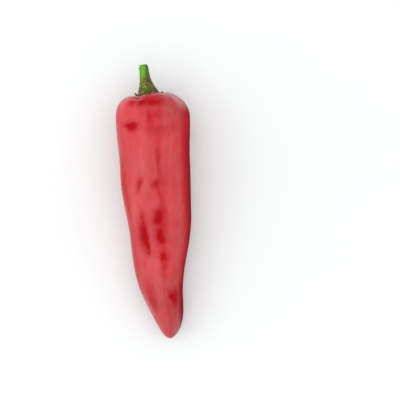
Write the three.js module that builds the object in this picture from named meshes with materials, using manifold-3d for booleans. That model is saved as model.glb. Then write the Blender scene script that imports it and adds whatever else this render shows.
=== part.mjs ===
// A sweet pointed pepper lying on its side: a red fruit, the calyx in its crown and the cut stem.
// Millimetres. +Z is up, and the fruit lies along Y with its stem towards +Y and its tip towards -Y.
// The origin is on the surface that the pepper lies on, below the middle of its bounding box.
import * as THREE from "three";
import { mergeVertices } from "three/addons/utils/BufferGeometryUtils.js";
import Module from "manifold-3d";

const { clamp, degToRad, lerp, smootherstep } = THREE.MathUtils;

// ---- Driving dimensions ----
const FRUIT_LENGTH = 173.5; // from the top of the crown to the tip
const FRUIT_WIDTH = 52.4; // widest, across the shoulders
const FRUIT_HEIGHT = 47; // thickest, where the section is flattened
const SHOULDER_DROP = 21; // from the top of the crown down to the widest section
const BASIN_DEPTH = 4.6; // the hollow in the crown that the calyx lies in
const BASIN_RADIUS = 15;
const CROWN_SHIFT = -2.6; // the crown's centre lies to the left of the fruit's own axis
const CROWN_LEAN = 6.5; // degrees, the crown's right side stands higher
const CROWN_NOD = 2; // degrees, the crown's upper side stands back
const CALYX_MARGIN = 1.3; // from the stem's foot to the notches between the calyx's teeth
const CALYX_TOOTH = 1.3; // how far the teeth stand out past the notches
const CALYX_TEETH = 6;
const CALYX_THICKNESS = 0.9; // at its rim, and at the edge of its flat top, which the stem stands on
const STEM_LENGTH = 20.8;
const STEM_FOOT_RADIUS = 6.9;
const STEM_TOP_RADIUS = 3.2;
const STEM_FLARE = 7.1; // length over which the foot narrows
const STEM_LEAN = -4.1; // how far the cut end stands to the left of the foot
const STEM_RIBS = 5;
const STEM_RIB_DEPTH = 0.09; // share of the radius
const GAP = 0.3; // clearance between pieces that touch
const FLAT_DEPTH = 0.45; // how much of the round underside the resting spot takes away

// ---- Shape of the fruit ----
const SHOULDER_POWER = 2.5; // squareness of the shoulders: 2 is an ellipse
const TAPER_POWER = 1.06; // fullness of the taper: 1 is an ellipse
const WAIST = { depth: 0.072, at: 0.68, length: 0.28 }; // shares by which the lower part is slimmer
const SHOULDER_ROWS = 0.32; // share of the surface rows spent on the shoulders
const CROWN_BLEND = 0.75; // share of the greatest radius at which the skin has its full relief
const FLAT_SECTION_END = 0.5; // share of the length below which the section grows round again
const SWAY = 5; // the fruit bends this far to the right over its upper part
const SWAY_END = 0.62; // share of the axis over which it does
const HOOK = 7; // and this much more just above the tip
const HOOK_START = 0.68;
const TIP_HEIGHT = 10.5; // height of the tip's centre above the surface
const SAG = 0.28; // share of the axis's fall that is straight; the rest is a curve
// The seams between the lobes: angle round the fruit (90 is the upper side), its drift down the fruit,
// depth at the shoulders, depth further down, and half width in degrees.
const SEAMS = [
  { angle: 126, drift: -14, shoulderDepth: 1.5, depth: 0.5, spread: 13 },
  { angle: 24, drift: 20, shoulderDepth: 0.7, depth: 0.4, spread: 18 },
  { angle: 270, drift: 0, shoulderDepth: 1.6, depth: 1.3, spread: 17 },
];
const SEAM_FADE = 26; // millimetres below the crown over which a seam becomes shallow
const SEAM_NOTCH = 1.7; // how far the deepest seam lowers the brim of the crown
const BRIM_WIDTH = 5; // half width of the brim round the basin
// Dents in the skin: distance below the crown, angle, depth, half length and half width.
const DENTS = [
  { drop: 24.5, angle: 125, depth: 1.15, length: 4, width: 4 },
  { drop: 66, angle: 119, depth: 0.75, length: 4.5, width: 3.2 },
  { drop: 100, angle: 119, depth: 1.3, length: 12, width: 4 },
  { drop: 118, angle: 112, depth: 0.6, length: 4, width: 3 },
  { drop: 9, angle: 96, depth: 0.9, length: 5, width: 9 },
  { drop: 144, angle: 52, depth: 0.9, length: 8, width: 3.5 },
  { drop: 60, angle: 205, depth: 0.8, length: 11, width: 5 },
  { drop: 96, angle: 330, depth: 0.9, length: 13, width: 5 },
  { drop: 45, angle: 178, depth: 1.5, length: 18, width: 17 },
];
// Slow swells of the skin: height, turns round the fruit, turns along it, and phase.
const SWELLS = [
  { height: 0.32, round: 2, along: 1.6, phase: 0.9 },
  { height: 0.26, round: 3, along: 2.7, phase: 2.4 },
  { height: 0.16, round: 5, along: 4.3, phase: 4.1 },
];

const shoulderRadius = FRUIT_WIDTH / 2;
const seatRadius = STEM_FOOT_RADIUS * (1 + STEM_RIB_DEPTH);
const calyxRadius = seatRadius + CALYX_MARGIN + CALYX_TOOTH;
const crownShare = calyxRadius / shoulderRadius; // of the greatest radius: how far the crown stays true
const deepestSeam = Math.max(...SEAMS.map((seam) => seam.shoulderDepth));
const fullTurn = 2 * Math.PI;
const between = (low, high, value) => smootherstep(value, low, high);
const turnsApart = (a, b) => Math.abs(((a - b + 540) % 360) - 180); // degrees, 0 to 180
const bell = (distance, width) => Math.exp(-((distance / width) ** 2));

// Where row v of the surface lies, from the middle of the crown (0) to the tip (1):
// its share of the greatest radius, and how far it is below the crown.
function meridian(v) {
  if (v < SHOULDER_ROWS) {
    const turn = ((v / SHOULDER_ROWS) * Math.PI) / 2;
    return {
      share: Math.sin(turn) ** (2 / SHOULDER_POWER),
      drop: SHOULDER_DROP * (1 - Math.cos(turn) ** (2 / SHOULDER_POWER)),
    };
  }
  const turn = (((v - SHOULDER_ROWS) / (1 - SHOULDER_ROWS)) * Math.PI) / 2;
  const down = Math.sin(turn);
  const slimmed = 1 - WAIST.depth * bell(down - WAIST.at, WAIST.length);
  return {
    share: slimmed * Math.max(Math.cos(turn), 0) ** TAPER_POWER,
    drop: lerp(SHOULDER_DROP, FRUIT_LENGTH, down),
  };
}

// The row whose radius in the crown is the given one.
function crownRow(radius) {
  const sine = (radius / shoulderRadius) ** (SHOULDER_POWER / 2);
  return (Math.asin(sine) / (Math.PI / 2)) * SHOULDER_ROWS;
}

// How far the seams and dents press the skin in, and the swells lift it.
function relief(drop, angle, share) {
  const degrees = (angle * 180) / Math.PI;
  const along = drop / FRUIT_LENGTH;
  const radius = shoulderRadius * share;
  let inward = 0;
  for (const seam of SEAMS) {
    const depth = seam.depth + (seam.shoulderDepth - seam.depth) * bell(drop, SEAM_FADE);
    inward += depth * bell(turnsApart(degrees, seam.angle + seam.drift * along), seam.spread);
  }
  for (const dent of DENTS) {
    const across = degToRad(turnsApart(degrees, dent.angle)) * radius;
    inward += dent.depth * bell(drop - dent.drop, dent.length) * bell(across, dent.width);
  }
  for (const swell of SWELLS)
    inward -=
      swell.height *
      Math.sin(swell.round * angle + swell.phase) *
      Math.sin(swell.along * fullTurn * along + 2 * swell.phase);
  return inward * between(crownShare, CROWN_BLEND, share);
}

// Height of the crown's surface at a radius, before it leans.
function crownHeight(radius) {
  const basin = radius < BASIN_RADIUS ? (1 - (radius / BASIN_RADIUS) ** 2) ** 2 : 0;
  return -meridian(crownRow(radius)).drop - BASIN_DEPTH * basin;
}

// How far the seams lower the brim at an angle and radius. The deepest seam makes the full notch.
function notch(angle, radius) {
  const brim = SEAM_NOTCH * bell(radius - BASIN_RADIUS, BRIM_WIDTH);
  const degrees = (angle * 180) / Math.PI;
  let lowered = 0;
  for (const seam of SEAMS) {
    const share = seam.shoulderDepth / deepestSeam;
    lowered += share * brim * bell(turnsApart(degrees, seam.angle), seam.spread);
  }
  return lowered;
}

const seatHeight = crownHeight(seatRadius) + GAP + CALYX_THICKNESS;

// Moves a point that is placed about the crown's centre to its place in the leaning crown.
// hold is 1 in the middle of the crown and 0 where it has become the fruit's side.
function lean([x, y, z], hold) {
  const rise = x * Math.tan(degToRad(CROWN_LEAN)) - z * Math.tan(degToRad(CROWN_NOD));
  return [x + CROWN_SHIFT * hold, y + rise * hold, z];
}

// The fruit's axis: to the side, and its height above the surface.
function axisAt(drop) {
  const down = clamp((drop - SHOULDER_DROP) / (FRUIT_LENGTH - SHOULDER_DROP), 0, 1);
  const fall = FRUIT_HEIGHT / 2 - TIP_HEIGHT;
  return {
    x: SWAY * between(0, SWAY_END, down) + HOOK * between(HOOK_START, 1, down),
    z: -fall * (SAG * down + (1 - SAG) * down ** 2),
  };
}

function fruitPoint(v, angle) {
  const { share, drop } = meridian(v);
  const radius = shoulderRadius * share;
  const axis = axisAt(drop);
  const onShoulder = v < SHOULDER_ROWS;
  const skin = radius - relief(drop, angle, share);
  // The crown is round, the shoulders are flattened, and the tip is round again.
  const flattened = onShoulder
    ? between(crownShare, 1, share)
    : 1 - between(FLAT_SECTION_END, 1, drop / FRUIT_LENGTH);
  const flatness = lerp(1, FRUIT_HEIGHT / FRUIT_WIDTH, flattened);
  const top = onShoulder ? crownHeight(radius) - notch(angle, radius) : -drop;
  const hold = onShoulder ? 1 - between(crownShare, 1, share) : 0;
  const [x, y, z] = lean([skin * Math.cos(angle), top, skin * Math.sin(angle) * flatness], hold);
  return [x + axis.x, y, z + axis.z];
}

// ---- Calyx and stem ----
// The calyx from the middle of its top (v = 0), out over the rim, to the middle of its underside (v = 1).
const TOOTH_SHARPNESS = 3; // higher is narrower
const CALYX_SEAT_EDGE = 0.25;
const CALYX_RIM_TOP = 0.45;
const CALYX_RIM_FOOT = 0.55;

// Distance from the calyx's middle at row v, where the rim lies at the given distance.
function calyxSpread(v, rim) {
  if (v < CALYX_SEAT_EDGE) return (v / CALYX_SEAT_EDGE) * seatRadius;
  if (v > CALYX_RIM_FOOT) return (rim * (1 - v)) / (1 - CALYX_RIM_FOOT);
  const sloped = (v - CALYX_SEAT_EDGE) / (CALYX_RIM_TOP - CALYX_SEAT_EDGE);
  return lerp(seatRadius, rim, Math.min(sloped, 1));
}

function calyxPoint(v, angle) {
  const tooth = ((1 + Math.cos(CALYX_TEETH * angle)) / 2) ** TOOTH_SHARPNESS;
  const rim = calyxRadius - CALYX_TOOTH * (1 - tooth);
  const radius = calyxSpread(v, rim);
  const foot = crownHeight(radius) + GAP;
  const top = lerp(seatHeight, foot + CALYX_THICKNESS, between(seatRadius, rim, radius));
  const edge = clamp((v - CALYX_RIM_TOP) / (CALYX_RIM_FOOT - CALYX_RIM_TOP), 0, 1);
  return lean([radius * Math.cos(angle), lerp(top, foot, edge), radius * Math.sin(angle)], 1);
}

// The stem from the middle of its cut end (v = 0), down its side, to the middle of its foot (v = 1).
const STEM_CUT_EDGE = 0.125;
const STEM_FOOT_EDGE = 0.875;
const STEM_FLARE_POWER = 1.7; // how sharply the foot spreads
const STEM_BEND_POWER = 0.6; // under 1, most of the lean is near the foot
const STEM_RIB_TURN = 0.5; // radians
const CUT_WEAR = { share: 0.14, length: 0.9 }; // how the edge of the cut end is worn round

function stemPoint(v, angle) {
  const down = clamp((v - STEM_CUT_EDGE) / (STEM_FOOT_EDGE - STEM_CUT_EDGE), 0, 1);
  const height = STEM_LENGTH * (1 - down);
  const flare = Math.exp(-((height / STEM_FLARE) ** STEM_FLARE_POWER));
  const ribs = 1 + STEM_RIB_DEPTH * Math.cos(STEM_RIBS * angle + STEM_RIB_TURN);
  const worn = 1 - CUT_WEAR.share * bell(STEM_LENGTH - height, CUT_WEAR.length);
  const side = lerp(STEM_TOP_RADIUS, STEM_FOOT_RADIUS, flare) * ribs * worn;
  const cap = v < STEM_CUT_EDGE ? v / STEM_CUT_EDGE : Math.min((1 - v) / (1 - STEM_FOOT_EDGE), 1);
  const radius = side * cap;
  const base = seatHeight + GAP;
  const shift = STEM_LEAN * (height / STEM_LENGTH) ** STEM_BEND_POWER;
  return lean([radius * Math.cos(angle) + shift, base + height, radius * Math.sin(angle)], 1);
}

// ---- Solids ----
const MERGE_DISTANCE = 1e-4;

// A sphere's grid moved point by point: place(v, angle) gives the point at row v and angle.
function warpedSphere({ around, rows }, place) {
  const geometry = new THREE.SphereGeometry(1, around, rows);
  const position = geometry.getAttribute("position");
  for (let i = 0; i < position.count; i++) {
    const v = Math.acos(clamp(position.getY(i), -1, 1)) / Math.PI;
    const angle = Math.atan2(position.getZ(i), position.getX(i));
    position.setXYZ(i, ...place(v, angle < 0 ? angle + fullTurn : angle));
  }
  return merged(geometry);
}

// The geometry with shared vertices, as a closed solid needs.
function merged(geometry) {
  geometry.deleteAttribute("normal");
  geometry.deleteAttribute("uv");
  return mergeVertices(geometry, MERGE_DISTANCE);
}

const wasm = await Module();
wasm.setup();

function solidOf(geometry) {
  const vertProperties = geometry.getAttribute("position").array;
  const triVerts = new Uint32Array(geometry.getIndex().array);
  return new wasm.Manifold(new wasm.Mesh({ numProp: 3, vertProperties, triVerts }));
}

function geometryOf(solid) {
  const { vertProperties, triVerts } = solid.getMesh();
  return new THREE.BufferGeometry()
    .setAttribute("position", new THREE.BufferAttribute(vertProperties, 3))
    .setIndex(new THREE.BufferAttribute(triVerts, 1));
}

// The fruit with the flat spot on its underside, which it rests on.
function withFlatSpot(geometry) {
  geometry.computeBoundingBox();
  const size = geometry.boundingBox.getSize(new THREE.Vector3()).multiplyScalar(2);
  const middle = geometry.boundingBox.getCenter(new THREE.Vector3());
  const below = new THREE.BoxGeometry(size.x, size.y, size.z);
  below.translate(middle.x, middle.y, geometry.boundingBox.min.z + FLAT_DEPTH - size.z / 2);
  return geometryOf(solidOf(geometry).subtract(solidOf(merged(below))));
}

function piece(name, geometry, color, roughness) {
  const mesh = new THREE.Mesh(
    geometry,
    new THREE.MeshStandardMaterial({ color, roughness, metalness: 0 }),
  );
  mesh.name = name;
  return mesh;
}

const fruit = withFlatSpot(warpedSphere({ around: 60, rows: 50 }, fruitPoint));
const calyx = warpedSphere({ around: 48, rows: 20 }, calyxPoint);
const stem = warpedSphere({ around: 40, rows: 24 }, stemPoint);

const pepper = new THREE.Group();
pepper.add(
  piece("fruit", fruit, "#c2262d", 0.28),
  piece("calyx", calyx, "#6a7434", 0.6),
  piece("stem", stem, "#6c9c3c", 0.5),
);

// So far the crown's centre was the origin. The pepper moves to lie on z = 0, centred on the origin.
const bounds = new THREE.Box3().setFromObject(pepper);
const middle = bounds.getCenter(new THREE.Vector3());
pepper.position.set(-middle.x, -middle.y, -bounds.min.z);

export default pepper;
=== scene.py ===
"""A red sweet pointed pepper lying on its side, on a pale floor in soft studio light."""

import math

import bpy
import numpy as np
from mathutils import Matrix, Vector


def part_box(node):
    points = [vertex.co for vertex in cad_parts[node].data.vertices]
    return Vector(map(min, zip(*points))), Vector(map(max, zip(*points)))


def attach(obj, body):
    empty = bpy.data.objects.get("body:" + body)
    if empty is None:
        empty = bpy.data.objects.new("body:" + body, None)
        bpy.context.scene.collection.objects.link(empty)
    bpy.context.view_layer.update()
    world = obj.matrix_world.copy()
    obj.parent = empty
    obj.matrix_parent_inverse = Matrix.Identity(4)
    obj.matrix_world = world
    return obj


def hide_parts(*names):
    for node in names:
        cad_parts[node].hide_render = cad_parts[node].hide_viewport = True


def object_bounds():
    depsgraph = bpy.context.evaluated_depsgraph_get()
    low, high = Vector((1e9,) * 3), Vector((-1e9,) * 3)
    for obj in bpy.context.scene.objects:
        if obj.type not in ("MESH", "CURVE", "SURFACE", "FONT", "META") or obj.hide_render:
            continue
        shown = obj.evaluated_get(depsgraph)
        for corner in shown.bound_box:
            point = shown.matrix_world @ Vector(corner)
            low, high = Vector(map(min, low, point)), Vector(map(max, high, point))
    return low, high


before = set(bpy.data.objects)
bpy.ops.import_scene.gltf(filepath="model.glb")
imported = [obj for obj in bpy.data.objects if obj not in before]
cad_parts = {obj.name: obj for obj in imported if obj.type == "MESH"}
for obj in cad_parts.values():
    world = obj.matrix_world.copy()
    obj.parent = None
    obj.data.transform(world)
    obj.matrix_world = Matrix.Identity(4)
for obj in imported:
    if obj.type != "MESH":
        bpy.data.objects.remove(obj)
cad_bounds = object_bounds()

MM = 0.001
FULL_TURN = 2 * math.pi

# ---- Sizes of the pepper, in millimetres and degrees, about the middle of its crown ----
FRUIT_LENGTH = 173.5  # from the top of the crown to the tip
FRUIT_WIDTH = 52.4  # widest, across the shoulders
FRUIT_HEIGHT = 47  # thickest, where the section is flattened
SHOULDER_DROP = 21  # from the top of the crown down to the widest section
BASIN_DEPTH = 4.6  # the hollow in the crown that the calyx lies in
BASIN_RADIUS = 15
BRIM_WIDTH = 5  # half width of the brim round the basin
CROWN_SHIFT = -2.6  # the crown's centre lies to the left of the fruit's own axis
CROWN_LEAN = 6.5  # degrees, the crown's right side stands higher
CROWN_NOD = 2  # degrees, the crown's upper side stands back
CALYX_MARGIN = 1.3  # from the stem's foot to the notches between the calyx's teeth
CALYX_TOOTH = 1.3  # how far the teeth stand out past the notches
CALYX_TEETH = 6
CALYX_THICKNESS = 0.9
STEM_LENGTH = 20.8
STEM_FOOT_RADIUS = 6.9
STEM_TOP_RADIUS = 3.2
STEM_FLARE = 7.1  # length over which the foot narrows
STEM_FLARE_POWER = 1.7
STEM_LEAN = -4.1  # how far the cut end stands to the left of the foot
STEM_BEND_POWER = 0.6
STEM_RIBS = 5
STEM_RIB_DEPTH = 0.09  # share of the radius
STEM_RIB_TURN = 0.5
GAP = 0.3  # clearance between pieces that touch
FLAT_DEPTH = 0.45  # how much of the round underside the resting spot takes away
SHOULDER_POWER = 2.5  # squareness of the shoulders: 2 is an ellipse
TAPER_POWER = 1.06  # fullness of the taper: 1 is an ellipse
WAIST_DEPTH, WAIST_AT, WAIST_LENGTH = 0.072, 0.68, 0.28  # shares by which the lower part is slimmer
SHOULDER_ROWS = 0.32  # share of the surface rows spent on the shoulders
CROWN_BLEND = 0.75  # share of the greatest radius at which the skin has its full relief
FLAT_SECTION_END = 0.5  # share of the length below which the section grows round again
SWAY, SWAY_END = 5, 0.62  # the fruit bends this far to the right over its upper part
HOOK, HOOK_START = 7, 0.68  # and this much more just above the tip
TIP_HEIGHT = 10.5  # height of the tip's centre above the surface
SAG = 0.28  # share of the axis's fall that is straight; the rest is a curve
SEAM_FADE = 26  # millimetres below the crown over which a seam becomes shallow
SEAM_NOTCH = 1.7  # how far the deepest seam lowers the brim of the crown

# Seams between the lobes: angle round the fruit (90 is the upper side), drift down the fruit,
# depth at the shoulders, depth further down, half width in degrees.
SEAMS = [
    (126, -14, 1.5, 0.5, 13),
    (24, 20, 0.7, 0.4, 18),
    (270, 0, 1.6, 1.3, 17),
]
# Dents: distance below the crown, angle, depth, half length, half width.
DENTS = [
    (24.5, 125, 1.15, 4, 4),
    (66, 119, 0.75, 4.5, 3.2),
    (100, 119, 1.3, 12, 4),
    (118, 112, 0.6, 4, 3),
    (9, 96, 0.9, 5, 9),
    (144, 52, 0.9, 8, 3.5),
    (60, 205, 0.8, 11, 5),
    (96, 330, 0.9, 13, 5),
    (45, 178, 1.5, 18, 17),
]
# Faint hollows where the skin has no bloom and is painted a darker red, which is painted shade in the
# hollows and dents: distance below the crown, angle, half length, half width, slant across for each
# millimetre down, share without bloom.
BARE_PATCHES = [
    (25.2, 125, 3.2, 4.1, 0.0, 1.6),
    (24.0, 136, 2.4, 3.4, 0.2, 0.7),
    (23.4, 118, 2.2, 3.2, 0.0, 0.45),
    (8.5, 128, 2.6, 3.4, 0.0, 0.75),
    (8.5, 110, 3.6, 3.2, 0.0, 0.7),
    (3.4, 97, 1.8, 6.5, 0.0, 0.5),
    (7.5, 90, 3.6, 8.5, 0.1, 0.85),
    (9.0, 74, 3.6, 7.0, 0.0, 0.4),
    (17, 84, 3.2, 9.0, 0.15, 0.55),
    (27, 80, 4.0, 11.0, -0.1, 0.5),
    (20, 94, 6.0, 1.8, -0.2, 0.5),
    (24, 50, 3.5, 6.0, 0.0, 0.35),
    (63, 117, 3.0, 2.2, 0.0, 0.55),
    (66.5, 119, 4.4, 2.4, 0.7, 0.65),
    (87, 122, 5.0, 2.2, -0.1, 0.65),
    (96, 121, 6.5, 4.2, 0.0, 0.8),
    (104, 122, 6.5, 4.7, -0.1, 0.9),
    (108, 116, 6.0, 2.2, -0.4, 0.6),
    (113.5, 116, 2.4, 2.6, 0.0, 0.7),
    (46, 82, 6.0, 1.6, 0.0, 0.6),
    (54, 83, 4.0, 1.4, 0.0, 0.5),
    (64.5, 88, 3.6, 3.4, 0.2, 0.85),
    (71, 84, 6.0, 1.4, -0.2, 0.45),
    (85.5, 88, 4.6, 4.2, 0.0, 1.1),
    (91, 93, 3.0, 4.2, 0.0, 0.8),
    (98.5, 89, 5.0, 4.0, 0.0, 0.95),
    (103.5, 87, 3.6, 3.6, 0.0, 0.9),
    (115, 82, 4.4, 3.0, -0.2, 0.95),
    (124, 80, 6.0, 2.0, 0.0, 0.45),
    (138.5, 116, 3.2, 3.0, 0.3, 0.35),
    (147.0, 121, 6.0, 3.2, 0.1, 0.55),
    (146, 136, 10.0, 2.6, 0.2, 0.35),
    (143, 61, 4.4, 3.6, -0.35, 1.0),
    (140.5, 42, 5.0, 3.2, 0.0, 0.75),
    (149, 56, 6.0, 3.6, -0.2, 0.5),
    (72, 152, 26.0, 4.0, 0.0, 0.45),
    (120, 150, 22.0, 4.0, 0.0, 0.3),
]
BARE_DEPTH = 0.22  # how deep those hollows are
# Small folds of the skin beside the calyx: distance below the crown, angle, rise, half length,
# half width.
FOLDS = [
    (4.0, 126, -1.3, 1.2, 4.5),
    (6.4, 122, 0.6, 1.1, 4.5),
    (4.4, 100, 0.35, 1.6, 3.0),
]
# The skin that turns away to the right is painted a deeper red, most of all at its outer edge:
# painted shade on that side. A SIDE pair is how far right the shade starts and is full: 0 is the top
# of the fruit and 1 its right edge. The other pairs, and AT and LENGTH, are distances below the
# crown. The first number of the shoulder, middle and lower end rows is their share of painted shade.
EDGE_SIDE = (0.77, 1.03)
EDGE_START, EDGE_END = (8, 42), (140, 170)
EDGE_GROWTH, EDGE_LEAST = (30, 90), 0.8
SHOULDER_SHADE, SHOULDER_SIDE, SHOULDER_AT, SHOULDER_LENGTH = 0.6, (0.1, 0.75), 9, 10
MIDDLE_SHADE, MIDDLE_SIDE, MIDDLE_START = 0.3, (0.3, 0.9), (50, 110)
LOWER_END_SHADE, LOWER_END_SIDE, LOWER_END_START = 0.45, (-0.2, 0.7), (128, 156)
# Slow swells: height, turns round the fruit, turns along it, phase.
SWELLS = [
    (0.32, 2, 1.6, 0.9),
    (0.26, 3, 2.7, 2.4),
    (0.16, 5, 4.3, 4.1),
]

SHOULDER_RADIUS = FRUIT_WIDTH / 2
SEAT_RADIUS = STEM_FOOT_RADIUS * (1 + STEM_RIB_DEPTH)
CALYX_RADIUS = SEAT_RADIUS + CALYX_MARGIN + CALYX_TOOTH
CROWN_SHARE = CALYX_RADIUS / SHOULDER_RADIUS


# ---- Small helpers for shapes. All take and give numpy arrays. ----
def between(low, high, value):
    """0 at low, 1 at high, with a smooth rise."""
    t = np.clip((value - low) / (high - low), 0, 1)
    return t * t * t * (t * (t * 6 - 15) + 10)


def lerp(a, b, t):
    return a + (b - a) * t


def bell(distance, width):
    return np.exp(-((distance / width) ** 2))


def turns_apart(a, b):
    """Degrees between two directions, 0 to 180."""
    return np.abs((a - b + 540) % 360 - 180)


def lengthwise(share):
    """Factors for a place that draw a pattern out along the pepper."""
    return 1, share, 1


def lumps(points, size, seed):
    """Smooth noise from -1 to 1 over points in millimetres, with lumps about size across."""
    count = 32
    table = np.random.default_rng(seed).uniform(-1, 1, (count, count, count))
    place = points / size + 1000
    low = np.floor(place).astype(int)
    part = place - low
    part = part * part * (3 - 2 * part)
    total = np.zeros(len(points))
    for corner in np.ndindex(2, 2, 2):
        weight = np.prod(np.where(corner, part, 1 - part), axis=1)
        x, y, z = ((low + corner) % count).T
        total += weight * table[x, y, z]
    return total


# ---- Shape of the fruit ----
def meridian(v):
    """Share of the greatest radius at row v, and distance below the crown."""
    up = np.clip(v / SHOULDER_ROWS, 0, 1) * math.pi / 2
    shoulder_share = np.sin(up) ** (2 / SHOULDER_POWER)
    shoulder_drop = SHOULDER_DROP * (1 - np.clip(np.cos(up), 0, 1) ** (2 / SHOULDER_POWER))
    turn = np.clip((v - SHOULDER_ROWS) / (1 - SHOULDER_ROWS), 0, 1) * math.pi / 2
    down = np.sin(turn)
    slimmed = 1 - WAIST_DEPTH * bell(down - WAIST_AT, WAIST_LENGTH)
    taper_share = slimmed * np.clip(np.cos(turn), 0, 1) ** TAPER_POWER
    on_shoulder = v < SHOULDER_ROWS
    share = np.where(on_shoulder, shoulder_share, taper_share)
    return share, np.where(on_shoulder, shoulder_drop, lerp(SHOULDER_DROP, FRUIT_LENGTH, down))


def crown_height(radius):
    sine = (radius / SHOULDER_RADIUS) ** (SHOULDER_POWER / 2)
    drop = meridian(np.arcsin(sine) / (math.pi / 2) * SHOULDER_ROWS)[1]
    basin = np.clip(1 - (radius / BASIN_RADIUS) ** 2, 0, 1) ** 2
    return -drop - BASIN_DEPTH * basin


SEAT_HEIGHT = float(crown_height(np.array([SEAT_RADIUS]))[0]) + GAP + CALYX_THICKNESS


def seam_relief(drop, degrees):
    total = np.zeros_like(drop)
    for angle, drift, shoulder_depth, depth, spread in SEAMS:
        deep = depth + (shoulder_depth - depth) * bell(drop, SEAM_FADE)
        off = turns_apart(degrees, angle + drift * drop / FRUIT_LENGTH)
        total += deep * bell(off, spread)
    return total


def dent_relief(drop, degrees, radius):
    total = np.zeros_like(drop)
    for down, angle, depth, length, width in DENTS:
        across = np.radians(turns_apart(degrees, angle)) * radius
        total += depth * bell(drop - down, length) * bell(across, width)
    return total


def bare_skin(points, drop, degrees, radius):
    """Share of the skin without bloom and with painted shade, from 0 to 1, in patches whose edges
    wander by lumps.
    """
    total = np.zeros_like(drop)
    uneven_down = 1.3 * lumps(points, 3.2, 21) + 0.6 * lumps(points, 1.4, 22)
    uneven_across = 1.0 * lumps(points, 3.0, 23) + 0.5 * lumps(points, 1.3, 24)
    for down, angle, length, width, slant, share in BARE_PATCHES:
        turn = (degrees - angle + 540) % 360 - 180
        across = np.radians(turn) * radius + uneven_across
        along = drop - down + uneven_down
        total += share * bell(along, length) * bell(across - slant * along, width)
    return np.clip(total, 0, 1)


def right_shade_share(points, drop, angle):
    """Share of painted shade, a deeper red, from 0 to 1, on the skin that turns away to the right."""
    right = np.cos(angle)
    edge = between(*EDGE_SIDE, right) * between(*EDGE_START, drop) * (1 - between(*EDGE_END, drop))
    edge = edge * lerp(EDGE_LEAST, 1, between(*EDGE_GROWTH, drop))
    at_shoulder = bell(drop - SHOULDER_AT, SHOULDER_LENGTH)
    shoulder = SHOULDER_SHADE * between(*SHOULDER_SIDE, right) * at_shoulder
    middle = MIDDLE_SHADE * between(*MIDDLE_SIDE, right) * between(*MIDDLE_START, drop)
    lower_end = LOWER_END_SHADE * between(*LOWER_END_SIDE, right) * between(*LOWER_END_START, drop)
    inside = (shoulder + middle + lower_end) * (1 - edge)
    uneven = 0.9 + 0.3 * lumps(points * lengthwise(0.3), 7, 25)
    return np.clip((edge + inside) * uneven, 0, 1)


def swell_relief(drop, angle):
    total = np.zeros_like(drop)
    for height, turns, along, phase in SWELLS:
        wave = np.sin(along * FULL_TURN * drop / FRUIT_LENGTH + 2 * phase)
        total += height * np.sin(turns * angle + phase) * wave
    return total


def notch(degrees, radius):
    brim = bell(radius - BASIN_RADIUS, BRIM_WIDTH)
    deepest = max(seam[2] for seam in SEAMS)
    return sum(
        SEAM_NOTCH * depth / deepest * brim * bell(turns_apart(degrees, angle), spread)
        for angle, _, depth, _, spread in SEAMS
    )


def lean(x, y, z, hold):
    rise = x * math.tan(math.radians(CROWN_LEAN)) - z * math.tan(math.radians(CROWN_NOD))
    return x + CROWN_SHIFT * hold, y + rise * hold, z


def axis_at(drop):
    down = np.clip((drop - SHOULDER_DROP) / (FRUIT_LENGTH - SHOULDER_DROP), 0, 1)
    x = SWAY * between(0, SWAY_END, down) + HOOK * between(HOOK_START, 1, down)
    fall = FRUIT_HEIGHT / 2 - TIP_HEIGHT
    return x, -fall * (SAG * down + (1 - SAG) * down ** 2)


def fruit_points(v, angle):
    """Points of the fruit's skin, before its fine texture."""
    share, drop = meridian(v)
    degrees = np.degrees(angle)
    radius = SHOULDER_RADIUS * share
    pressed = seam_relief(drop, degrees) + dent_relief(drop, degrees, radius)
    relief = (pressed - swell_relief(drop, angle)) * between(CROWN_SHARE, CROWN_BLEND, share)
    skin = radius - relief
    on_shoulder = v < SHOULDER_ROWS
    flattened = np.where(
        on_shoulder,
        between(CROWN_SHARE, 1, share),
        1 - between(FLAT_SECTION_END, 1, drop / FRUIT_LENGTH),
    )
    flatness = lerp(1, FRUIT_HEIGHT / FRUIT_WIDTH, flattened)
    top = np.where(on_shoulder, crown_height(radius) - notch(degrees, radius), -drop)
    hold = np.where(on_shoulder, 1 - between(CROWN_SHARE, 1, share), 0)
    x, y, z = lean(skin * np.cos(angle), top, skin * np.sin(angle) * flatness, hold)
    axis_x, axis_z = axis_at(drop)
    return np.stack([x + axis_x, y, z + axis_z], axis=1)


# ---- Meshes ----
def grid_faces(around, rows):
    """Faces of a sphere's grid with one point at each pole, all facing out."""
    faces = []
    last = around * (rows - 1) + 1
    for j in range(around):
        following = (j + 1) % around
        faces.append((0, 1 + following, 1 + j))
        faces.append((last, last - around + j, last - around + following))
    for i in range(rows - 2):
        upper = 1 + i * around
        lower = upper + around
        for j in range(around):
            following = (j + 1) % around
            faces.append((upper + j, upper + following, lower + following, lower + j))
    return faces


def grid_places(around, rows):
    """Row and angle of each point of that grid: the first pole, the rows and the last pole."""
    rows_between = np.repeat(np.arange(1, rows) / rows, around)
    angles = np.tile(np.arange(around) / around * FULL_TURN, rows - 1)
    return np.r_[0, rows_between, 1], np.r_[0, angles, 0]


def make_piece(name, points, faces, marks, node):
    """A smooth mesh with a number per point for each mark, which stands for a CAD node."""
    mesh = bpy.data.meshes.new(name)
    mesh.from_pydata(points * MM, [], faces)
    mesh.polygons.foreach_set("use_smooth", np.ones(len(faces), bool))
    for mark, values in marks.items():
        layer = mesh.attributes.new(mark, "FLOAT", "POINT")
        layer.data.foreach_set("value", values.astype(np.float32))
    mesh.validate()
    piece = bpy.data.objects.new(name, mesh)
    bpy.context.scene.collection.objects.link(piece)
    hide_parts(node)
    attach(piece, "root")
    return piece


def corners(points):
    return points.min(axis=0), points.max(axis=0)


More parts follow.
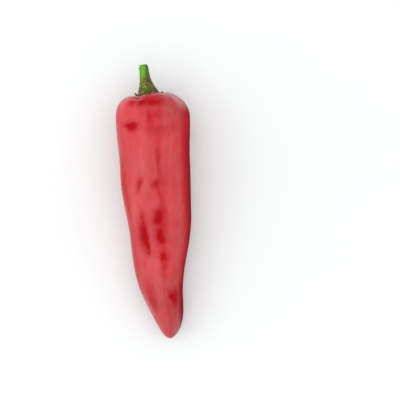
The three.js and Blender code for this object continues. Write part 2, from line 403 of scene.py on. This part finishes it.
# ---- The fruit ----
FRUIT_GRID = (288, 300)  # points round it, rows along it
BASIN_SHADE_FULL = 0.2  # share of the greatest radius within which the painted shade of the basin, a dark red under the calyx, is full
# The fine texture starts and is full at these shares of the greatest radius, and fades out again
# over the last share of the rows.
TEXTURE_START = (0.42, 0.7)
TEXTURE_TIP = 0.12
# Furrows that run into the basin: how many, their depth, how far they wander, and where they are
# deepest and how fast they fade, below the crown.
FURROWS, FURROW_DEPTH, FURROW_WANDER = 19, 0.16, 2.5
FURROW_AT, FURROW_LENGTH = 3, 6
RAISED_FROM, RAISED_TO = 0.5, 9  # heights between which the skin gets its bloom, clear of the floor
v_fruit, angle_fruit = grid_places(*FRUIT_GRID)
fruit_shape = fruit_points(v_fruit, angle_fruit)

# The crown's middle is the origin of the shapes. The CAD fruit's box says where that goes, and the
# underside goes below the floor by what the resting spot takes away.
cad_low, cad_high = (np.array(corner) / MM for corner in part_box("fruit"))
shape_low, shape_high = corners(fruit_shape)
move = (cad_low + cad_high - shape_low - shape_high) / 2
move[2] = -shape_low[2] - FLAT_DEPTH


def fold_relief(drop, degrees, radius):
    total = np.zeros_like(drop)
    for down, angle, rise, length, width in FOLDS:
        across = np.radians(turns_apart(degrees, angle)) * radius
        total += rise * bell(drop - down, length) * bell(across, width)
    return total


def skin_texture(points, v, angle):
    """Small rises and hollows of the skin, in millimetres, apart from the crown's middle."""
    share, drop = meridian(v)
    broad = 0.16 * lumps(points, 11, 1) + 0.07 * lumps(points, 5, 2)
    streaks = 0.035 * lumps(points * lengthwise(0.35), 2.2, 3)
    wave = np.sin(FURROWS * angle + FURROW_WANDER * lumps(points, 9, 4))
    furrows = FURROW_DEPTH * wave * bell(drop - FURROW_AT, FURROW_LENGTH)
    folds = fold_relief(drop, np.degrees(angle), SHOULDER_RADIUS * share)
    clear_of_ends = between(*TEXTURE_START, share) * between(0, TEXTURE_TIP, 1 - v)
    return (broad + streaks + furrows + folds) * clear_of_ends


def outward(points):
    """Direction away from the fruit's axis for each point, good enough to lift the skin along."""
    axis_x, axis_z = axis_at(-points[:, 1])
    away = np.stack([points[:, 0] - axis_x, 0 * axis_x, points[:, 2] - axis_z], axis=1)
    return away / np.maximum(np.linalg.norm(away, axis=1, keepdims=True), 1e-6)


def make_fruit():
    share, drop = meridian(v_fruit)
    bare = bare_skin(fruit_shape, drop, np.degrees(angle_fruit), SHOULDER_RADIUS * share)
    lift = skin_texture(fruit_shape, v_fruit, angle_fruit) - BARE_DEPTH * bare
    points = fruit_shape + outward(fruit_shape) * lift[:, None] + move
    points[:, 2] = np.maximum(points[:, 2], 0)
    marks = {
        # the same share paints a darker red, as painted shade in the hollows and dents
        "bare": bare,
        "drop": drop,
        # painted shade in the basin under the calyx
        "basin": np.where(v_fruit < SHOULDER_ROWS, 1 - between(BASIN_SHADE_FULL, CROWN_BLEND, share), 0),
        # painted shade: the share of deeper red on the skin turned to the right
        "right_shade": right_shade_share(fruit_shape, drop, angle_fruit),
        "raised": between(RAISED_FROM, RAISED_TO, points[:, 2]),
    }
    return make_piece("fruit_skin", points, grid_faces(*FRUIT_GRID), marks, "fruit")


# ---- The calyx ----
CALYX_GRID = (240, 60)
# Share of the rows at which the flat top, the sloped top and the edge end.
CALYX_SEAT_EDGE = 0.25
CALYX_RIM_TOP = 0.45
CALYX_RIM_FOOT = 0.55
TOOTH_SHARPNESS = 3
CALYX_CURL = 2.2  # how far the dry teeth stand up off the fruit


def calyx_curl(angle, tooth):
    """How far the rim stands up, uneven round it, and most on the left."""
    uneven = 0.6 + 0.4 * np.sin(7 * angle + 0.26)
    to_left = 0.55 - 0.45 * np.cos(angle)
    return CALYX_CURL * uneven * (0.5 + 0.5 * tooth) * to_left


def calyx_points(v, angle):
    tooth = ((1 + np.cos(CALYX_TEETH * angle)) / 2) ** TOOTH_SHARPNESS
    ragged = 0.35 * np.sin(11 * angle + 1) + 0.25 * np.sin(17 * angle + 4)
    rim = CALYX_RADIUS - CALYX_TOOTH * (1 - tooth) + ragged * 0.6
    sloped = np.clip((v - CALYX_SEAT_EDGE) / (CALYX_RIM_TOP - CALYX_SEAT_EDGE), 0, 1)
    on_seat = v / CALYX_SEAT_EDGE * SEAT_RADIUS
    upper = np.where(v < CALYX_SEAT_EDGE, on_seat, lerp(SEAT_RADIUS, rim, sloped))
    radius = np.where(v > CALYX_RIM_FOOT, rim * (1 - v) / (1 - CALYX_RIM_FOOT), upper)
    foot = crown_height(radius) + GAP
    top = lerp(SEAT_HEIGHT, foot + CALYX_THICKNESS, between(SEAT_RADIUS, rim, radius))
    edge = np.clip((v - CALYX_RIM_TOP) / (CALYX_RIM_FOOT - CALYX_RIM_TOP), 0, 1)
    curled = calyx_curl(angle, tooth) * between(SEAT_RADIUS, rim + 0.4, radius) ** 2
    height = lerp(top, foot, edge) + curled
    x, y, z = lean(radius * np.cos(angle), height, radius * np.sin(angle), 1)
    return np.stack([x, y, z], axis=1), {"rim": between(SEAT_RADIUS - 1, rim, radius)}


def make_calyx():
    points, marks = calyx_points(*grid_places(*CALYX_GRID))
    return make_piece("calyx_disc", points + move, grid_faces(*CALYX_GRID), marks, "calyx")


# ---- The stem ----
STEM_GRID = (200, 200)
# Share of the rows at which the cut end and the side end.
STEM_CUT_EDGE = 0.125
STEM_FOOT_EDGE = 0.875
CUT_WEAR_SHARE, CUT_WEAR_LENGTH = 0.2, 1.3  # the cut end has shrunk a little
CORK_RISE, CORK_AT, CORK_LENGTH = 0.13, 6, 6  # rough cork in a band above the foot
FIBRE_RISE = 0.1


def stem_points(v, angle):
    down = np.clip((v - STEM_CUT_EDGE) / (STEM_FOOT_EDGE - STEM_CUT_EDGE), 0, 1)
    height = STEM_LENGTH * (1 - down)
    flare = np.exp(-((height / STEM_FLARE) ** STEM_FLARE_POWER))
    ribs = 1 + STEM_RIB_DEPTH * np.cos(STEM_RIBS * angle + STEM_RIB_TURN)
    worn = 1 - CUT_WEAR_SHARE * bell(STEM_LENGTH - height, CUT_WEAR_LENGTH)
    side = lerp(STEM_TOP_RADIUS, STEM_FOOT_RADIUS, flare) * ribs * worn
    under = np.minimum((1 - v) / (1 - STEM_FOOT_EDGE), 1)
    cap = np.where(v < STEM_CUT_EDGE, v / STEM_CUT_EDGE, under)
    radius = side * cap
    shift = STEM_LEAN * (height / STEM_LENGTH) ** STEM_BEND_POWER
    above_crown = SEAT_HEIGHT + GAP + height
    x, y, z = lean(radius * np.cos(angle) + shift, above_crown, radius * np.sin(angle), 1)
    on_side = (v >= STEM_CUT_EDGE) & (v <= STEM_FOOT_EDGE)
    marks = {
        "height": height,
        "cut": (v < STEM_CUT_EDGE).astype(float),
        "middle": 1 - cap,
        "right": (1 + np.cos(angle)) / 2,
    }
    return np.stack([x, y, z], axis=1), marks, on_side


def make_stem():
    v, angle = grid_places(*STEM_GRID)
    points, marks, on_side = stem_points(v, angle)
    around = np.stack([np.cos(angle), np.zeros_like(angle), np.sin(angle)], axis=1)
    cork = CORK_RISE * lumps(points, 1.1, 11) * bell(marks["height"] - CORK_AT, CORK_LENGTH)
    fibres = FIBRE_RISE * lumps(points * lengthwise(0.25), 0.8, 12)
    points = points + around * ((fibres + cork) * on_side)[:, None]
    return make_piece("stem_stalk", points + move, grid_faces(*STEM_GRID), marks, "stem")


# ---- Shader nodes ----
class Nodes:
    """Short calls to build a tree of nodes. A value is a number or another node's output."""

    def __init__(self, tree):
        self.tree = tree

    def feed(self, value, socket):
        if isinstance(value, (int, float)):
            socket.default_value = value
        else:
            self.tree.links.new(value, socket)

    def math(self, operation, a, b=0.0):
        node = self.tree.nodes.new("ShaderNodeMath")
        node.operation = operation
        self.feed(a, node.inputs[0])
        self.feed(b, node.inputs[1])
        return node.outputs[0]

    def product(self, first, *others):
        total = first
        for value in others:
            total = self.math("MULTIPLY", total, value)
        return total

    def rest(self, share):
        return self.math("SUBTRACT", 1.0, share)

    def ranged(self, value, low, high, to_low=0.0, to_high=1.0):
        """value between low and high becomes to_low to to_high, with a smooth rise."""
        node = self.tree.nodes.new("ShaderNodeMapRange")
        node.interpolation_type = "SMOOTHSTEP"
        self.feed(value, node.inputs["Value"])
        ends = {"From Min": low, "From Max": high, "To Min": to_low, "To Max": to_high}
        for socket, number in ends.items():
            node.inputs[socket].default_value = number
        return node.outputs["Result"]


class Look(Nodes):
    """A material with a Principled shader. Its patterns are laid out in millimetres."""

    def __init__(self, name, **constants):
        self.material = bpy.data.materials.new(name)
        self.material.use_nodes = True
        super().__init__(self.material.node_tree)
        self.shader = self.tree.nodes["Principled BSDF"]
        for socket, value in constants.items():
            self.shader.inputs[socket.replace("_", " ")].default_value = value
        coordinates = self.tree.nodes.new("ShaderNodeTexCoord").outputs["Object"]
        self.place = self.stretched(coordinates, (1 / MM,) * 3)

    def stretched(self, vector, factors):
        node = self.tree.nodes.new("ShaderNodeVectorMath")
        node.operation = "MULTIPLY"
        self.tree.links.new(vector, node.inputs[0])
        node.inputs[1].default_value = factors
        return node.outputs[0]

    def mark(self, name):
        """A number that the mesh has for each point."""
        node = self.tree.nodes.new("ShaderNodeAttribute")
        node.attribute_name = name
        return node.outputs["Fac"]

    def noise(self, size, detail, stretch=(1, 1, 1), roughness=0.5):
        """Noise from 0 to 1 with lumps about size millimetres across."""
        node = self.tree.nodes.new("ShaderNodeTexNoise")
        self.tree.links.new(self.stretched(self.place, stretch), node.inputs["Vector"])
        node.inputs["Scale"].default_value = 1 / size
        node.inputs["Detail"].default_value = detail
        node.inputs["Roughness"].default_value = roughness
        return node.outputs["Fac"]

    def spots(self, size, stretch=(1, 1, 1)):
        """Distance from the nearest of many scattered points about size millimetres apart."""
        node = self.tree.nodes.new("ShaderNodeTexVoronoi")
        self.tree.links.new(self.stretched(self.place, stretch), node.inputs["Vector"])
        node.inputs["Scale"].default_value = 1 / size
        return node.outputs["Distance"]

    def mix(self, share, a, b):
        """Colour a where share is 0 and b where it is 1."""
        node = self.tree.nodes.new("ShaderNodeMix")
        node.data_type = "RGBA"
        self.tree.links.new(share, node.inputs["Factor"])
        colour_sockets = [s for s in node.inputs if s.type == "RGBA"]
        for socket, value in zip(colour_sockets, (a, b)):
            if isinstance(value, tuple):
                socket.default_value = (*value, 1)
            else:
                self.tree.links.new(value, socket)
        return [s for s in node.outputs if s.type == "RGBA"][0]

    def bump(self, height, distance, strength):
        node = self.tree.nodes.new("ShaderNodeBump")
        node.inputs["Distance"].default_value = distance
        node.inputs["Strength"].default_value = strength
        self.tree.links.new(height, node.inputs["Height"])
        self.set("Normal", node.outputs["Normal"])

    def set(self, socket, value):
        self.tree.links.new(value, self.shader.inputs[socket])


def colour(red, green, blue):
    """A colour of light in 0 to 255 steps, as the shader's linear numbers."""
    def linear(step):
        share = step / 255
        return share / 12.92 if share <= 0.04045 else ((share + 0.055) / 1.055) ** 2.4
    return linear(red), linear(green), linear(blue)


# ---- Materials ----
RIPE_RED = colour(176, 8, 24)
LIGHT_RED = colour(186, 12, 29)
STREAK_RED = colour(196, 22, 32)
PORE_PINK = colour(214, 88, 76)
LOWER_RED = colour(150, 12, 26)
# painted shade next to the calyx, where the crown dips towards the basin
CROWN_SHADE_RED = colour(126, 4, 14)
# painted shade on the skin that turns away to the right
RIGHT_SHADE_RED = colour(126, 3, 15)
# painted shade in the bare hollows and dents
BARE_SHADE_RED = colour(156, 3, 15)
# painted shade in the basin under the calyx
BASIN_SHADE_RED = colour(120, 10, 14)
TIP_BROWN = colour(88, 52, 36)
CALYX_GREEN = colour(98, 108, 44)
CALYX_OLIVE = colour(124, 112, 60)
DRY_BROWN = colour(84, 58, 36)
DRY_TAN = colour(150, 118, 78)
STEM_GREEN = colour(80, 136, 30)
STEM_LIGHT_GREEN = colour(120, 174, 60)
# painted shade on the stem's right side
STEM_SHADE_GREEN = colour(64, 80, 34)
STEM_FOOT_GREEN = colour(46, 98, 8)
# the stem foot's own brown, also painted shade on its right side
STEM_FOOT_BROWN_AND_SHADE = colour(74, 54, 32)
CORK_BROWN = colour(82, 62, 34)
FLECK_TAN = colour(186, 158, 104)
CUT_MIDDLE_GREEN = colour(170, 184, 114)
CUT_RING_GREEN = colour(88, 100, 46)
FLOOR_GREY = colour(219, 222, 222)
FLOOR_PALE = colour(224, 227, 227)
LOWER_RED_FROM, LOWER_RED_TO = 112, 160  # distances below the crown where the red grows duller
CROWN_SHADE_FROM, CROWN_SHADE_TO = 2.5, 8  # and where the painted shade of the crown, a darker red next to the calyx, ends
TIP_SCAR = 0.25  # length of the brown scar at the tip


def skin_colour(look):
    """Reds of the skin: its own, then by place from the crown down to the tip, with painted shade as
    darker reds next to the calyx, in the basin, in the bare hollows and on the right side.
    """
    drop = look.mark("drop")
    patches = look.ranged(look.noise(34, 3), 0.35, 0.65)
    streaks = look.ranged(look.noise(3, 3, lengthwise(0.12)), 0.45, 0.75, 0, 0.35)
    pores = look.ranged(look.spots(1.6), 0.08, 0.22, 0.12, 0)
    lower = look.ranged(drop, LOWER_RED_FROM, LOWER_RED_TO, 0, 0.5)
    # painted shade: a darker red next to the calyx
    crown = look.ranged(drop, CROWN_SHADE_FROM, CROWN_SHADE_TO, 0.5, 0)
    # painted shade on the right side, a deeper red
    right_shade = look.product(look.mark("right_shade"), 0.85)
    # painted shade: a dark red in the basin under the calyx
    basin = look.ranged(look.mark("basin"), 0.6, 0.95, 0, 0.7)
    tip = look.ranged(drop, FRUIT_LENGTH - TIP_SCAR, FRUIT_LENGTH - TIP_SCAR / 5, 0, 0.8)
    red = look.mix(patches, RIPE_RED, LIGHT_RED)
    red = look.mix(streaks, red, STREAK_RED)
    red = look.mix(pores, red, PORE_PINK)
    red = look.mix(lower, red, LOWER_RED)
    red = look.mix(crown, red, CROWN_SHADE_RED)
    red = look.mix(right_shade, red, RIGHT_SHADE_RED)
    # painted shade: a darker red in the bare hollows and dents
    red = look.mix(look.mark("bare"), red, BARE_SHADE_RED)
    red = look.mix(basin, red, BASIN_SHADE_RED)
    return look.mix(tip, red, TIP_BROWN)


def skin_bloom(look):
    """The waxy bloom, which hazes the red: streaked, cloudy, rubbed, and absent on bare skin."""
    bands = look.ranged(look.noise(9, 2, lengthwise(0.1)), 0.35, 0.65, 0.74, 1.0)
    clouds = look.ranged(look.noise(10, 4, lengthwise(0.5)), 0.32, 0.68, 0.78, 1.0)
    rubbed = look.ranged(look.noise(2.6, 3, lengthwise(0.4)), 0.34, 0.6, 0.8, 1.0)
    covered = look.rest(look.mark("bare"))
    # the bloom is thinner where the right side has its painted shade
    right_shade = look.ranged(look.mark("right_shade"), 0.6, 1, 1, 0.35)
    return look.product(bands, clouds, rubbed, covered, right_shade, look.mark("raised"))


def skin_look():
    look = Look("pepper_skin", Specular_IOR_Level=0.06, Coat_IOR=1.8, Coat_Roughness=0.24)
    look.set("Base Color", skin_colour(look))
    look.set("Coat Weight", skin_bloom(look))
    look.set("Roughness", look.ranged(look.noise(9, 3), 0.3, 0.7, 0.3, 0.42))
    fine = look.math("ADD", look.noise(0.9, 2), look.product(look.noise(2.6, 2), 1.5))
    look.bump(fine, 0.04 * MM, 0.5)
    return look.material


def calyx_look():
    look = Look("calyx_leaf", Specular_IOR_Level=0.3)
    green = look.mix(look.ranged(look.noise(3, 4), 0.35, 0.65), CALYX_GREEN, CALYX_OLIVE)
    brown = look.mix(look.ranged(look.noise(1.2, 3), 0.4, 0.6), DRY_BROWN, DRY_TAN)
    look.set("Base Color", look.mix(look.ranged(look.mark("rim"), 0.1, 0.6), green, brown))
    look.set("Roughness", look.ranged(look.noise(1.5, 3), 0.3, 0.7, 0.55, 0.8))
    look.bump(look.noise(0.8, 4), 0.25 * MM, 0.7)
    return look.material


def stem_green(look):
    """Light and dark greens, with painted shade on the right as a dull green, and deep at the foot.
    """
    streaks = look.ranged(look.noise(1.6, 3, lengthwise(0.12)), 0.35, 0.7)
    # painted shade: the right side of the stem is duller and darker
    dull = look.ranged(look.mark("right"), 0.35, 0.85, 0, 0.8)
    foot = look.ranged(look.mark("height"), 1, 8, 0.85, 0)
    green = look.mix(streaks, STEM_GREEN, STEM_LIGHT_GREEN)
    green = look.mix(dull, green, STEM_SHADE_GREEN)
    return look.mix(foot, green, STEM_FOOT_GREEN)


def stem_cork(look, green):
    """Brown cork with tan flecks in a band above the foot, and the brown foot itself. Both grow
    stronger on the right, where they also paint shade.
    """
    height, right = look.mark("height"), look.mark("right")
    above_foot = look.ranged(height, 0.5, 4)
    below_top = look.ranged(height, 9, 15, 1, 0)
    # the cork's rise to the right is painted shade
    band = look.product(above_foot, below_top, look.ranged(right, 0.0, 0.6, 0.75, 1.0))
    cork = look.ranged(look.noise(1.3, 5, lengthwise(0.7), 0.72), 0.39, 0.5)
    dots = look.ranged(look.spots(1.2, lengthwise(0.8)), 0.16, 0.36, 1, 0)
    scattered = look.ranged(look.noise(2.2, 2), 0.39, 0.5)
    broken = look.ranged(look.noise(0.4, 2), 0.36, 0.52)
    # the foot's brown is its own; its rise to the right is painted shade
    foot = look.product(look.ranged(height, 0.6, 3.6, 1, 0), look.ranged(right, 0.3, 0.8, 0.3, 1))
    bark = look.mix(look.product(band, cork), green, CORK_BROWN)
    bark = look.mix(look.product(band, dots, scattered, broken), bark, FLECK_TAN)
    return look.mix(foot, bark, STEM_FOOT_BROWN_AND_SHADE)


def stem_look():
    look = Look("stem_bark", Specular_IOR_Level=0.12)
    bark = stem_cork(look, stem_green(look))
    towards_middle = look.ranged(look.mark("middle"), 0.1, 0.8)
    cut_end = look.mix(towards_middle, CUT_RING_GREEN, CUT_MIDDLE_GREEN)
    look.set("Base Color", look.mix(look.mark("cut"), bark, cut_end))
    look.set("Roughness", look.ranged(look.noise(2, 3), 0.3, 0.7, 0.45, 0.65))
    look.bump(look.noise(0.6, 4, lengthwise(0.5)), 0.18 * MM, 0.6)
    return look.material


def floor_look():
    look = Look("pale_floor", Roughness=0.75, Specular_IOR_Level=0.2)
    look.set("Base Color", look.mix(look.noise(160, 2), FLOOR_GREY, FLOOR_PALE))
    return look.material


# ---- Stage, lights and camera, in metres ----
FLOOR_HALF = 1.5
VIEW_WIDTH = 0.280  # what the camera sees at the height of the pepper's middle
VIEW_CENTRE = (0.0326, 0.0012)  # the pepper lies to the left in the picture
CAMERA_DISTANCE = 1.8
SENSOR_WIDTH = 36  # millimetres
LIGHTS_AIM = (0, 0, 0.02)
# Brightness of the studio in each direction, and the share of it that is missing low down. The
# angles are degrees from straight up, negative to the left, between which the light changes. The
# ends are how far past the crown or the tip a direction points, from 0 to 1.
LEFT_BRIGHTNESS, LEFT_ANGLES = 1.3, (2, 22)
RIGHT_BRIGHTNESS, RIGHT_ANGLES = 1.15, (6, 30)
LOW_LEFT_DARK, LOW_LEFT_ANGLES = 0.55, (-125, -85)
LOW_RIGHT_DARK, LOW_RIGHT_ANGLES = 0.98, (84, 112)
ENDS = (0.15, 0.5)
PAST_CROWN_GAIN = 0.08
LEAST_BRIGHTNESS = 0.02
BACKDROP = 1.0


def make_floor():
    mesh = bpy.data.meshes.new("floor")
    sides = ((-1, -1), (1, -1), (1, 1), (-1, 1))
    mesh.from_pydata([(FLOOR_HALF * x, FLOOR_HALF * y, 0) for x, y in sides], [], [(0, 1, 2, 3)])
    floor = bpy.data.objects.new("floor", mesh)
    bpy.context.scene.collection.objects.link(floor)
    floor.data.materials.append(floor_look())
    floor.visible_glossy = False


class Dome(Nodes):
    """The studio round the pepper: how bright it is in each direction."""

    def __init__(self):
        self.world = bpy.data.worlds.new("studio")
        self.world.use_nodes = True
        super().__init__(self.world.node_tree)
        direction = self.tree.nodes.new("ShaderNodeTexCoord").outputs["Generated"]
        split = self.tree.nodes.new("ShaderNodeSeparateXYZ")
        self.tree.links.new(direction, split.inputs[0])
        x, self.along, z = split.outputs
        # Degrees from straight up, negative to the left and positive to the right.
        self.across = self.product(self.math("ARCTAN2", x, z), 180 / math.pi)

    def finish(self, brightness):
        """The backdrop itself looks plain from every side."""
        lit = self.tree.nodes["Background"]
        plain = self.tree.nodes.new("ShaderNodeBackground")
        lit.inputs["Color"].default_value = (1, 1, 1, 1)
        plain.inputs["Color"].default_value = (1, 1, 1, 1)
        self.feed(brightness, lit.inputs["Strength"])
        self.feed(BACKDROP, plain.inputs["Strength"])
        seen = self.tree.nodes.new("ShaderNodeLightPath").outputs["Is Camera Ray"]
        mix = self.tree.nodes.new("ShaderNodeMixShader")
        self.feed(seen, mix.inputs[0])
        self.feed(lit.outputs[0], mix.inputs[1])
        self.feed(plain.outputs[0], mix.inputs[2])
        self.feed(mix.outputs[0], self.tree.nodes["World Output"].inputs["Surface"])
        bpy.context.scene.world = self.world


def make_studio():
    """Bright to the left and right, less bright overhead, and dark low on both sides."""
    dome = Dome()
    left = dome.product(dome.rest(dome.ranged(dome.across, *LEFT_ANGLES)), LEFT_BRIGHTNESS)
    past_crown = dome.product(dome.ranged(dome.along, *ENDS), PAST_CROWN_GAIN)
    right = dome.product(dome.ranged(dome.across, *RIGHT_ANGLES), RIGHT_BRIGHTNESS)
    right = dome.product(right, dome.math("ADD", 1.0, past_crown))
    low_left = dome.rest(dome.ranged(dome.across, *LOW_LEFT_ANGLES))
    low_left = dome.product(low_left, LOW_LEFT_DARK)
    low_right = dome.product(dome.ranged(dome.across, *LOW_RIGHT_ANGLES), LOW_RIGHT_DARK)
    ends = dome.ranged(dome.math("ABSOLUTE", dome.along), *ENDS)
    low = dome.product(dome.math("ADD", low_left, low_right), dome.rest(ends))
    bright = dome.product(dome.math("ADD", left, right), dome.rest(low))
    dome.finish(dome.math("ADD", bright, LEAST_BRIGHTNESS))


def soft_light(name, angle, distance, size, power):
    """A square light over the pepper. angle is from the vertical in degrees, negative to the left."""
    data = bpy.data.lights.new(name, "AREA")
    data.size = size
    data.energy = power
    light = bpy.data.objects.new(name, data)
    bpy.context.scene.collection.objects.link(light)
    tilt = math.radians(angle)
    light.location = (distance * math.sin(tilt), 0, distance * math.cos(tilt))
    aim = Vector(LIGHTS_AIM) - light.location
    light.rotation_euler = aim.to_track_quat("-Z", "Y").to_euler()
    light.visible_glossy = False


def make_lights():
    make_studio()
    soft_light("left_panel", angle=-60, distance=1.2, size=0.9, power=2.8)
    soft_light("top_panel", angle=14, distance=1.6, size=1.4, power=3.2)


def make_camera():
    data = bpy.data.cameras.new("camera")
    data.sensor_width = SENSOR_WIDTH
    data.lens = data.sensor_width * CAMERA_DISTANCE / VIEW_WIDTH
    camera = bpy.data.objects.new("camera", data)
    bpy.context.scene.collection.objects.link(camera)
    middle = (cad_bounds[0].z + cad_bounds[1].z) / 2
    camera.location = (*VIEW_CENTRE, middle + CAMERA_DISTANCE)
    bpy.context.scene.camera = camera


make_camera()
make_fruit().data.materials.append(skin_look())
make_calyx().data.materials.append(calyx_look())
make_stem().data.materials.append(stem_look())
make_floor()
make_lights()
bpy.context.scene.view_settings.view_transform = "Standard"
